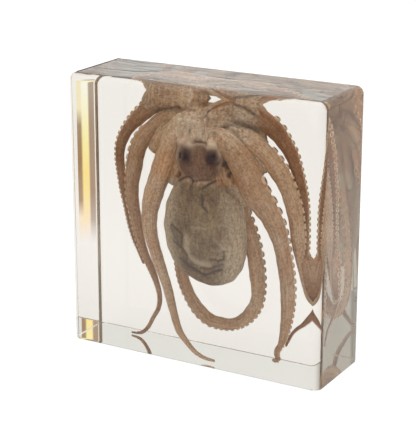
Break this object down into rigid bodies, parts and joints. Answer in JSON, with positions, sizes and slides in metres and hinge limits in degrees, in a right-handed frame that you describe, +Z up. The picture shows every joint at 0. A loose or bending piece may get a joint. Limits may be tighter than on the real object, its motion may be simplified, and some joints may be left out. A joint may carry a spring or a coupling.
{
  "type": "octopus in resin block",
  "caption": "Upright square block of clear cast resin with rounded edges and a small preserved octopus sealed in it, arms hanging down round its mantle.",
  "frame": {"origin": "middle of the block's bottom face, on the surface it stands on", "axes": "+Z up, +X along the block's width, +Y towards its back face; the octopus's back looks towards -Y"},
  "size_m": [0.16, 0.052, 0.16],
  "materials": {
    "clear_resin": "polished, clear",
    "octopus_skin": "satin, wrinkled"
  },
  "bodies": {
    "root": {"resin_front_half": "clear_resin", "resin_back_half": "clear_resin", "octopus": "octopus_skin"}
  },
  "joints": []
}
